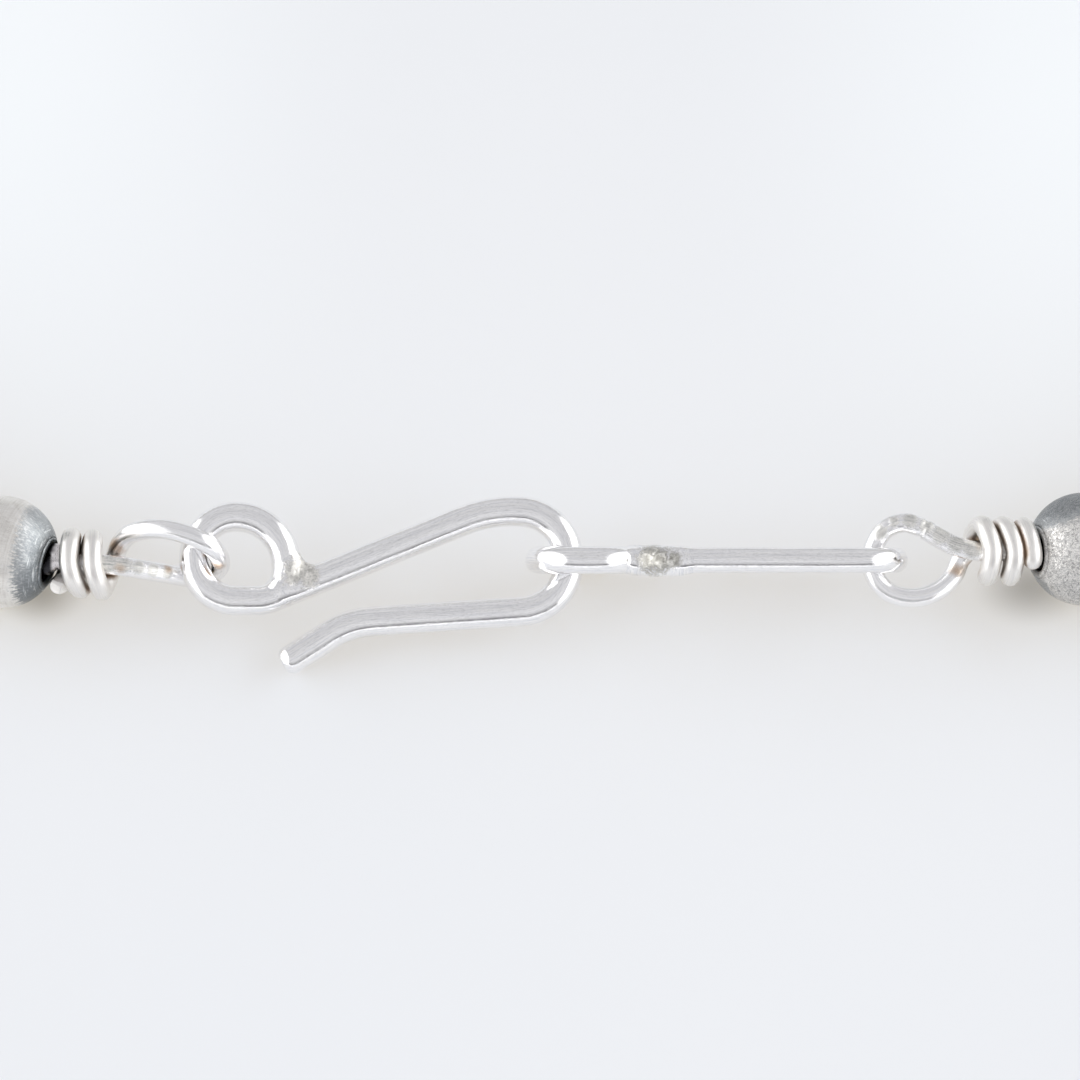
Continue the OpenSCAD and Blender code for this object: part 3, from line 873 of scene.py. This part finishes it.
def link_plane(points):
    """Points [x, z] of the link's own upright plane on the leaning plane."""
    p = np.atleast_2d(np.asarray(points, float))
    c, s = dcos(-LINK_RISE), dsin(-LINK_RISE)
    x, z = p[:, 0], p[:, 1]
    return RING_CENTRE + np.stack([x * c + z * s, np.zeros(len(p)), -x * s + z * c], axis=1)


def on_link(rows, drop=0.0):
    """Rows (x, z, size) of the link's plane, a little lower, as (place in the row's frame, size)."""
    return [(lean(link_plane([row[:2]]) - [0, drop, 0])[0], row[2]) for row in rows]


def oval_path():
    """Points [x, z] round the oval: the right end, the upper side, the left end and the lower side."""
    run = OVAL_RIGHT - OVAL_LEFT - 2 * OVAL_END_R
    out = []
    for centre, first, side in ((OVAL_RIGHT - OVAL_END_R, -90, 1), (OVAL_LEFT + OVAL_END_R, 90, -1)):
        out += [(centre + OVAL_END_R * dcos(a), OVAL_END_R * dsin(a)) for a in range(first, first + 180, 4)]
        out += [(centre - side * run * k / 24, side * OVAL_END_R) for k in range(24)]
    return out


def add_link_wire(name, line, r):
    obj = add_wire(name, line, np.full(len(line), r), LINK_CORNERS, closed=True, solder=link_spots)
    dress(obj, LINK_SILVER, "clasp_silver", "link")


turn = np.arange(RING_POINTS) * 2 * math.pi / RING_POINTS
ring_line = lean(link_plane(RING_LINE_R * np.stack([np.cos(turn), np.sin(turn)], axis=1)))
oval_line = lean(link_plane(oval_path()))
link_spots = on_link([(5.1, 0.9, 2.1), (4.75, 2.7, 1.35), (3.9, 2.4, 0.75), (5.4, 3.2, 1.2), (6.3, 3.5, 0.8)])
add_link_wire("link_ring", ring_line, RING_WIRE_R)
add_link_wire("link_oval", oval_line, OVAL_WIRE_R)


# Solder is a smooth fillet between two wires: the zero surface of a field, found on a grid

def line_distance(points, path, r):
    """Distance of each point to a wire's skin."""
    best = np.full(len(points), 1e9)
    for a, b in zip(path[:-1], path[1:]):
        d = b - a
        t = np.clip(((points - a) @ d) / d.dot(d), 0, 1)
        best = np.minimum(best, np.linalg.norm(points - a - t[:, None] * d, axis=1))
    return best - r


def smooth_min(a, b, k):
    """The smaller of two distances, rounded where they are within k of each other."""
    h = np.clip(0.5 + 0.5 * (b - a) / k, 0, 1)
    return b + (a - b) * h - k * h * (1 - h)


def net_surface(field, low, high, cell):
    """The zero surface of a field over a box, as points and quads."""
    n = np.ceil((high - low) / cell).astype(int) + 1
    axes = [low[k] + cell * np.arange(n[k]) for k in range(3)]
    grid = np.stack(np.meshgrid(*axes, indexing="ij"), axis=-1)
    value = field(grid.reshape(-1, 3)).reshape(n)
    inside = value < 0
    index = -np.ones(tuple(n - 1), int)
    corners = [(i, j, k) for i in (0, 1) for j in (0, 1) for k in (0, 1)]
    sums = np.zeros(tuple(n - 1), int)
    for i, j, k in corners:
        sums += inside[i:n[0] - 1 + i, j:n[1] - 1 + j, k:n[2] - 1 + k]
    cells = np.argwhere((sums > 0) & (sums < 8))
    index[tuple(cells.T)] = np.arange(len(cells))
    points = low + cell * (cells + 0.5)
    eps = 0.02
    for _ in range(6):
        v = field(points)
        g = [(field(points + eps * e) - field(points - eps * e)) / (2 * eps) for e in np.eye(3)]
        g = np.stack(g, axis=1)
        g2 = np.maximum((g * g).sum(1), 0.05)
        points = points - np.clip(v / g2, -cell, cell)[:, None] * g
    quads = []
    for axis in range(3):
        u, w = (axis + 1) % 3, (axis + 2) % 3
        step = np.zeros(3, int)
        step[axis] = 1
        lo = inside[tuple(slice(0, n[m] - step[m]) for m in range(3))]
        hi = inside[tuple(slice(step[m], n[m]) for m in range(3))]
        edges = np.argwhere(lo != hi)
        for e in edges:
            if e[u] < 1 or e[w] < 1 or e[u] >= n[u] - 1 or e[w] >= n[w] - 1:
                continue
            four = []
            for du, dw in ((-1, -1), (0, -1), (0, 0), (-1, 0)):
                c = e.copy()
                c[u] += du
                c[w] += dw
                four.append(index[tuple(c)])
            if min(four) < 0:
                continue
            quads.append(four if lo[tuple(e)] else four[::-1])
    return points, quads


SOLDER_CELL = 0.11
SOLDER_SKIN = 0.012


def add_solder(name, node, material, wires, lumps, blend, reach, spots):
    """The fillet that lumps of solder make with the wires near them. wires are (path, radius), lumps are
    (centre, radius), reach is how far the solder spreads, and spots are where it shows as solder."""
    middle = np.mean([c for c, _ in lumps], axis=0)
    near = []
    for path, r in wires:
        keep = np.linalg.norm(path - middle, axis=1) < reach + 2.2
        runs = np.split(np.arange(len(path)), np.where(~keep)[0])
        near += [(path[run], r) for run in runs if len(run) > 1 and keep[run].sum() > 1]

    def field(p):
        d = None
        for path, r in near:
            one = line_distance(p, path, r)
            d = one if d is None else smooth_min(d, one, blend)
        for centre, r in lumps:
            d = smooth_min(d, np.linalg.norm(p - centre, axis=1) - r, blend)
        return d + SOLDER_SKIN

    points, quads = net_surface(field, middle - reach, middle + reach, SOLDER_CELL)
    # Only what stands out of the wires is kept
    plain = np.min([line_distance(points, path, r) for path, r in wires], axis=0)
    keep = [q for q in quads if max(plain[list(q)]) > -0.004]
    used = sorted({v for q in keep for v in q})
    order = {v: k for k, v in enumerate(used)}
    obj = make_mesh(name, points[used], [[order[v] for v in q] for q in keep])
    put(obj, "local", points[used])
    put(obj, "along", np.zeros(len(used)))
    put(obj, "around", points[used] * 0.3)
    put(obj, "solder", solder_cover(points[used], spots) + 0.1)
    put(obj, "tarnish_and_shade", np.zeros(len(used)))
    put(obj, "golden", np.full(len(used), -1.0))
    put(obj, "soft", np.zeros(len(used)))
    dress(obj, material, "clasp_silver", node)


# The eye's first stretch and the shank that it closes on are the two wires of the hook's joint
EYE_POINTS, SHANK_POINTS = slice(0, 40), slice(62, None)
hook_lumps = on_hook([(-17.75, -1.15, 0, 0.92), (-16.85, -1.5, 0, 0.62), (-18.5, -1.75, 0, 0.4)])
hook_wires = [(hook_line[EYE_POINTS], HOOK_R), (hook_line[SHANK_POINTS], HOOK_R)]
add_solder("hook_solder", "hook", HOOK_SILVER, hook_wires, hook_lumps, blend=0.55, reach=2.3,
           spots=hook_spots)

link_wires = [(np.vstack([line, line[:1]]), r)
              for line, r in ((ring_line, RING_WIRE_R), (oval_line, OVAL_WIRE_R))]
link_lumps = on_link([
    (4.5, 0, 1.0), (5.0, 0, 0.95), (4.65, 1.0, 0.98), (4.6, -1.1, 0.98), (5.2, 1.2, 0.92), (5.2, -1.2, 0.92),
    (3.8, 1.95, 0.93), (4.35, 1.95, 0.88), (4.5, -1.85, 0.8), (4.9, 2.15, 0.92), (5.1, -2.05, 0.87),
    (5.2, 2.45, 0.92), (5.7, 2.66, 0.9), (6.2, 2.76, 0.89), (6.8, 2.83, 0.88)], drop=0.07)
add_solder("link_solder", "link", LINK_SILVER, link_wires, link_lumps, blend=0.6, reach=4.3,
           spots=link_spots)


# The foxtail chain inside the beads

HOLE_Z = BEAD_R * 0.88


def strand_points():
    """The chain's route from stem to stem, through each bead's two holes and its middle."""
    def side(i, a):
        return bead_centre(i) + a * bead_axis(i)

    pts = [lean(stem_at(LEFT_STEM, a) + [0, rise, 0])[0] for a, rise in ((-33.35, 0.2), (-34.5, 0.46))]
    pts += [side(0, -HOLE_Z + 0.2), side(0, 0), side(0, HOLE_Z) + [0, 0, 0.1]]
    for i in range(1, LAST - 1):
        pts += [side(i, -HOLE_Z), side(i, 0), side(i, HOLE_Z)]
    pts += [side(LAST - 1, -HOLE_Z), side(LAST - 1, 0), side(LAST - 1, HOLE_Z) + [0.05, -0.25, -0.3]]
    pts += [side(LAST, -HOLE_Z) + [0.05, 0.15, 0.2], side(LAST, 0), side(LAST, HOLE_Z) + [-0.1, -0.3, -0.47]]
    pts += [lean(stem_at(RIGHT_STEM, a))[0] for a in (34.3, 33.35)]
    return np.array(pts)


# The chain's thickness, relief and pitch, and those of the collar at either end. Within FINE_END of an end
# its rings lie close together, and further in, where the beads hide it, they lie COARSE apart
CHAIN_R, CHAIN_DEEP, WEAVE = 0.78, 0.13, 0.62
COLLAR_R, COLLAR_DEEP, KNURL = 0.9, 0.04, 0.12
END_COLLAR = 2.4
FINE_END = 9
COARSE = 0.42
CHAIN_CORNERS = 40


def add_strand():
    """A woven chain, with a finely knurled collar at either end."""
    route = strand_points()
    s = lengths(route)
    total = s[-1]
    fine = np.arange(0, END_COLLAR + 0.2, KNURL / 5)
    near = np.arange(END_COLLAR + 0.2, FINE_END, 0.07)
    far = np.arange(FINE_END, total - FINE_END, COARSE)
    places = np.concatenate([fine, near, far, (total - near)[::-1], (total - fine)[::-1]])
    path = np.stack([np.interp(places, s, route[:, k]) for k in range(3)], axis=1)
    left = np.minimum(places, total - places)
    collar = np.clip((END_COLLAR + 0.3 - left) / 0.3, 0, 1)
    angle = np.arange(CHAIN_CORNERS) * 2 * math.pi / CHAIN_CORNERS
    rings, angles = np.meshgrid(places, angle, indexing="ij")
    # Links lean one way on one side and the other way on the next
    lean_way = np.abs((angles / (math.pi / 2)) % 2 - 1)
    woven = 0.5 + 0.5 * np.cos(2 * math.pi * (rings / WEAVE + lean_way * 0.9))
    woven = woven * (0.35 + 0.65 * np.abs(np.cos(2 * angles)) ** 0.35)
    knurled = 0.72 + 0.28 * np.cos(2 * math.pi * rings / KNURL) * np.cos(10 * angles)
    height = woven * (1 - collar[:, None]) + knurled * collar[:, None]
    deep = CHAIN_DEEP * (1 - collar) + COLLAR_DEEP * collar
    thick = CHAIN_R * (1 - collar) + COLLAR_R * collar
    relief = deep[:, None] * height
    verts, quads, along, _ = sweep(path, thick - deep, CHAIN_CORNERS, relief=lambda s, a: relief)
    obj = make_mesh("strand_chain", verts, quads)
    put(obj, "along", along)
    put(obj, "relief", height.reshape(-1))
    # Painted shade: the chain's colour is darkened inside the beads, and a little further out at the end
    # beads
    inside = np.min([np.linalg.norm(verts - bead_centre(i), axis=1) for i in range(BEAD_COUNT)], axis=0)
    at_ends = np.min([np.linalg.norm(verts - bead_centre(i), axis=1) for i in END_BEADS], axis=0)
    put(obj, "painted_shade", np.clip(np.minimum((inside - 3.35) / 0.25, (at_ends - 4.0) / 0.15), 0.03, 1))
    dress(obj, FOXTAIL, "chain_silver", "strand")


add_strand()


# Surface, light and camera

# The floor has a little light of its own, which keeps the shadows faint and warm
FLOOR_HALF = 1.4
FLOOR_DROP = 0.0002
FLOOR_GLOW = (0.345, 0.26, 0.115)
# Its glow, a painted light, is brighter far off on either side, between these distances in metres from the
# middle and in depth
FLOOR_CORNER_GLOW = (0.43, 0.36, 0.215)
CORNER_ACROSS = (0.008, 0.044)
CORNER_DEEP = (-0.052, -0.004)
# Painted shadow: the ground is darker close to the end beads, at [x, y] in mm and as far as the reach
FLOOR_SHADOW_POOLS = (([-35.8, -0.85 - SHIFT], 2.7), ([34.7, -0.4 - SHIFT], 3.2))
SHADOW_POOL_DEPTH = 0.42
SHADOW_POOL_STRETCH = (0.7, 0.866)


def add_floor():
    mesh = bpy.data.meshes.new("floor")
    r = FLOOR_HALF
    mesh.from_pydata([(-r, -r, 0), (r, -r, 0), (r, r, 0), (-r, r, 0)], [], [(0, 1, 2, 3)])
    obj = bpy.data.objects.new("floor", mesh)
    bpy.context.scene.collection.objects.link(obj)
    mat, tree, shader = nodes_of("pale_surface")
    n = Nodes(tree)
    co = n.add("ShaderNodeTexCoord").outputs["Object"]
    soft = n.noise(co, 9.0, 3.0, 0.5)
    base = n.ramp(soft, [(0.3, (0.455, 0.552, 0.715)), (0.7, (0.475, 0.568, 0.725))])
    n.put(shader.inputs["Roughness"], n.ramp(soft, [(0.3, 0.6), (0.7, 0.66)]))
    x, y, _ = n.parts(co)
    far_side = n.times(n.step(n.math("ABSOLUTE", x), *CORNER_ACROSS), n.step(y, *CORNER_DEEP))
    painted_shadow = 0.0
    for place, reach in FLOOR_SHADOW_POOLS:
        across, deep = (n.times(n.minus(value, middle * MM), stretch / MM)
                        for value, middle, stretch in zip((x, y), place, SHADOW_POOL_STRETCH))
        away = n.math("SQRT", n.blend(across, across, deep, deep))
        painted_shadow = n.math("MAXIMUM", painted_shadow, n.step(away, reach, 0.0))
    painted_shadow = n.times(painted_shadow, SHADOW_POOL_DEPTH)
    # Painted light: the floor's own glow is stronger far off on either side
    glow = n.mix(far_side, FLOOR_GLOW, FLOOR_CORNER_GLOW)
    # The painted shadow darkens both the floor's colour and its own light near the end beads
    n.put(shader.inputs["Base Color"], n.mix(painted_shadow, base, (0.0, 0.0, 0.0)))
    n.put(shader.inputs["Emission Color"], n.mix(painted_shadow, glow, (0.0, 0.0, 0.0)))
    shader.inputs["Emission Strength"].default_value = 1.0
    shader.inputs["Specular IOR Level"].default_value = 0.2
    obj.data.materials.append(mat)
    obj.location = (0, 0, -FLOOR_DROP)


add_floor()


# The studio as polished metal sees it, from the front horizon over the top to the back horizon, as
# (share of the half turn, brightness), with a bright and a dark strip low in front
STUDIO = [(0.0, 1.5), (0.036, 1.5), (0.050, 0.27), (0.100, 0.27), (0.135, 0.52), (0.19, 0.70), (0.26, 0.78),
          (0.36, 0.70), (0.5, 0.65), (0.66, 0.63), (0.81, 0.70), (0.93, 0.62), (1.0, 0.54)]
# A white box stands at either side, from BOX_EDGE of the way out. It is as bright as BOX_GLOW, and the
# room is BLUER than it
BOX_GLOW = 2.6
BOX_EDGE = 0.59
BOX_FADE = 0.15
BLUER = 1.025


def build_world():
    """A soft room with a white box at either side."""
    world = bpy.data.worlds.new("studio")
    bpy.context.scene.world = world
    world.use_nodes = True
    tree = world.node_tree
    tree.nodes.clear()
    n = Nodes(tree)
    out = n.add("ShaderNodeOutputWorld")
    back = n.add("ShaderNodeBackground")
    tree.links.new(back.outputs[0], out.inputs[0])
    x, y, z = n.parts(n.add("ShaderNodeTexCoord").outputs["Generated"])
    over = n.math("DIVIDE", n.math("ARCTAN2", z, n.times(y, -1.0)), math.pi)
    room = [(place, (glow / BOX_GLOW, glow / BOX_GLOW, glow / BOX_GLOW * BLUER)) for place, glow in STUDIO]
    wide = n.math("ABSOLUTE", x)
    box = n.times(n.step(wide, BOX_EDGE, BOX_EDGE + BOX_FADE), n.step(z, 0.0, 0.06))
    n.put(back.inputs[0], n.mix(box, n.ramp(over, room), (1.0, 1.0, 1.0)))
    back.inputs[1].default_value = BOX_GLOW


build_world()


# What the camera looks at, as [along, up, out] in mm, and how far off it is and how wide it sees in metres
CAMERA_AIM = [-0.18, 0.85, 0.0]
CAMERA_AWAY = 0.9
CAMERA_WIDE = 0.0766
SENSOR = 36


def add_camera():
    """A camera square to the leaning plane."""
    target = lean([CAMERA_AIM])[0] * MM
    right, up, away = directions(np.eye(3))
    data = bpy.data.cameras.new("camera")
    data.sensor_width = SENSOR
    data.lens = SENSOR * CAMERA_AWAY / CAMERA_WIDE
    data.clip_start, data.clip_end = 0.01, 10
    obj = bpy.data.objects.new("camera", data)
    m = Matrix(np.column_stack([right, up, away]).tolist()).to_4x4()
    m.translation = target + away * CAMERA_AWAY
    obj.matrix_world = m
    bpy.context.scene.collection.objects.link(obj)
    bpy.context.scene.camera = obj


add_camera()
bpy.context.scene.view_settings.view_transform = "Standard"
